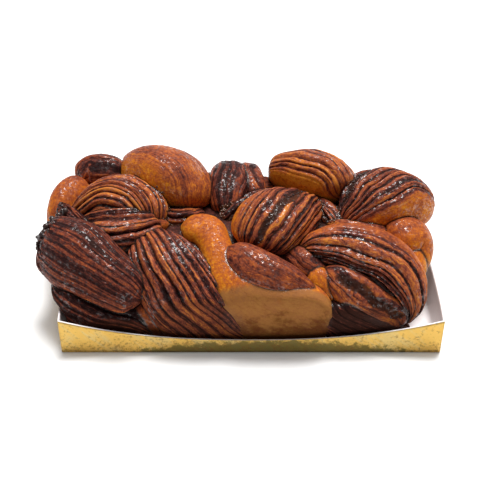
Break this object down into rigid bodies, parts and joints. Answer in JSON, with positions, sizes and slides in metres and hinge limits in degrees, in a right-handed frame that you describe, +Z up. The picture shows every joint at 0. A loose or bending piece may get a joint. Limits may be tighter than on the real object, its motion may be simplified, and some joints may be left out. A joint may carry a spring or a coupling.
{
  "type": "chocolate babka",
  "caption": "Chocolate babka: a loaf of twisted dough, cut open so that its dark and light layers show, syrup-glazed, in its open foil-faced card tray.",
  "frame": {"origin": "underside of the tray, in the middle of its floor", "axes": "+X along the loaf, +Y from the front of the loaf to its back, +Z up"},
  "size_m": [0.2401, 0.1265, 0.079],
  "materials": {
    "glazed_crust": "baked dough in dark chocolate and golden-brown layers, glossy with syrup on top and dull where it lay against the pan",
    "foil_card": "card, faced outside with creased gold foil, white inside and at its cut edge"
  },
  "bodies": {
    "root": {"babka_loaf": "glazed_crust", "card_tray": "foil_card"}
  },
  "joints": []
}
